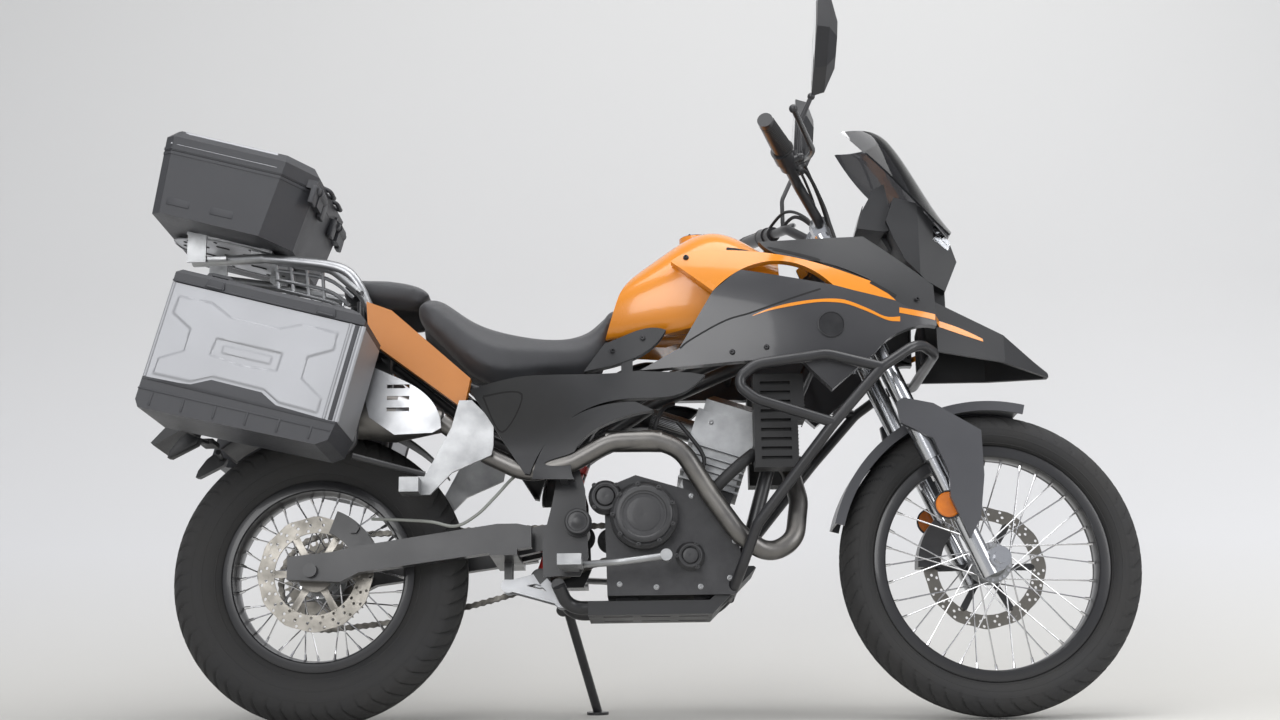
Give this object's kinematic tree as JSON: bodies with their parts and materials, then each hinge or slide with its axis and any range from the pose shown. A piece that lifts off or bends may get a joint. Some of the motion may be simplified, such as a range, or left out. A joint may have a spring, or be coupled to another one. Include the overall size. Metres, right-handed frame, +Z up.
{
  "type": "adventure motorcycle",
  "caption": "Adventure motorcycle with wire wheels, high beak, crash bars, top case and side panniers, leaning on its side stand; steering, wheels, lids and stand move.",
  "frame": {"origin": "on the ground below the middle of the bounding box", "axes": "+X forward, +Y to the rider's left, +Z up; the machine leans 7 degrees to its left on its side stand"},
  "size_m": [2.0737, 0.888, 1.5056],
  "materials": {
    "tyre_rubber": "matt with road tread",
    "wheel_paint": "satin black rim",
    "disc_steel": "turned",
    "sprocket_steel": "milled",
    "chain_steel": "oiled",
    "fork_metal": "satin, polished sliders",
    "bar_paint": "satin black",
    "grey_plastic": "fine grain",
    "caliper_paint": "satin",
    "frame_paint": "satin",
    "swingarm_paint": "satin black",
    "shock_metal": "satin",
    "engine_paint": "black over castings",
    "header_steel": "dark, heat stained",
    "muffler_metal": "satin",
    "radiator_paint": "matt",
    "bash_paint": "satin black",
    "guard_paint": "gloss black",
    "tank_paint": "gloss orange",
    "fairing_paint": "gloss gunmetal",
    "orange_paint": "gloss orange",
    "seat_cover": "grained cover over foam",
    "black_plastic": "fine grain",
    "lamp_glass": "clear lens",
    "screen_glass": "smoked sheet",
    "rack_metal": "satin",
    "peg_metal": "cast",
    "control_metal": "satin",
    "case_plastic": "grained",
    "lid_plastic": "grained",
    "stand_paint": "satin"
  },
  "bodies": {
    "frame": {"chain": "chain_steel", "rear_caliper": "caliper_paint", "main_frame": "frame_paint", "swingarm": "swingarm_paint", "shock_absorber": "shock_metal", "engine": "engine_paint", "exhaust_pipe": "header_steel", "muffler": "muffler_metal", "radiators": "radiator_paint", "bash_plate": "bash_paint", "crash_bars": "guard_paint", "fuel_tank": "tank_paint", "side_fairings": "fairing_paint", "tank_wings": "orange_paint", "side_covers": "grey_plastic", "tail_panels": "orange_paint", "rider_seat": "seat_cover", "pillion_seat": "seat_cover", "beak": "black_plastic", "front_cowl": "black_plastic", "headlamp": "lamp_glass", "windscreen": "screen_glass", "instrument_pod": "black_plastic", "rear_fender": "black_plastic", "tail_unit": "black_plastic", "luggage_racks": "rack_metal", "passenger_pegs": "peg_metal", "foot_controls": "control_metal", "top_case": "case_plastic", "panniers": "case_plastic"},
    "steering": {"fork": "fork_metal", "handlebar": "bar_paint", "front_fender": "grey_plastic", "front_caliper": "caliper_paint"},
    "front_wheel": {"front_tyre": "tyre_rubber", "front_wheel": "wheel_paint", "front_disc": "disc_steel"},
    "rear_wheel": {"rear_tyre": "tyre_rubber", "rear_wheel": "wheel_paint", "rear_disc": "disc_steel", "rear_sprocket": "sprocket_steel"},
    "side_stand": {"side_stand": "stand_paint"},
    "top_case_lid": {"top_case_lid": "case_plastic"},
    "pannier_lid_left": {"pannier_lid_left": "lid_plastic"},
    "pannier_lid_right": {"pannier_lid_right": "lid_plastic"}
  },
  "joints": [
    {"name": "steering", "type": "hinge", "parent": "frame", "child": "steering", "pos_m": [0.37292, 0.00973, 0.94871], "axis": [-0.4003, 0.1117, 0.9095], "range_deg": [-36, 36]},
    {"name": "front_wheel_spin", "type": "hinge", "parent": "steering", "child": "front_wheel", "pos_m": [0.716, -0.06789, 0.31654], "axis": [0, 0.9925, -0.1219], "continuous": true},
    {"name": "rear_wheel_spin", "type": "hinge", "parent": "frame", "child": "rear_wheel", "pos_m": [-0.684, -0.06923, 0.30562], "axis": [0, 0.9925, -0.1219], "continuous": true},
    {"name": "side_stand_fold", "type": "hinge", "parent": "frame", "child": "side_stand", "pos_m": [-0.179, 0.05624, 0.24437], "axis": [0.159, 0.8944, 0.418], "range_deg": [0, 105]},
    {"name": "top_case_hinge", "type": "hinge", "parent": "frame", "child": "top_case_lid", "pos_m": [-0.69285, 0.02872, 1.10337], "axis": [0, 0.9925, -0.1219], "range_deg": [0, 85]},
    {"name": "left_lid_hinge", "type": "hinge", "parent": "frame", "child": "pannier_lid_left", "pos_m": [-0.90514, 0.19342, 0.82825], "axis": [0.9681, -0.0305, -0.2485], "range_deg": [0, 75]},
    {"name": "right_lid_hinge", "type": "hinge", "parent": "frame", "child": "pannier_lid_right", "pos_m": [-0.90514, -0.19764, 0.87626], "axis": [-0.9681, 0.0305, 0.2485], "range_deg": [0, 75]}
  ]
}
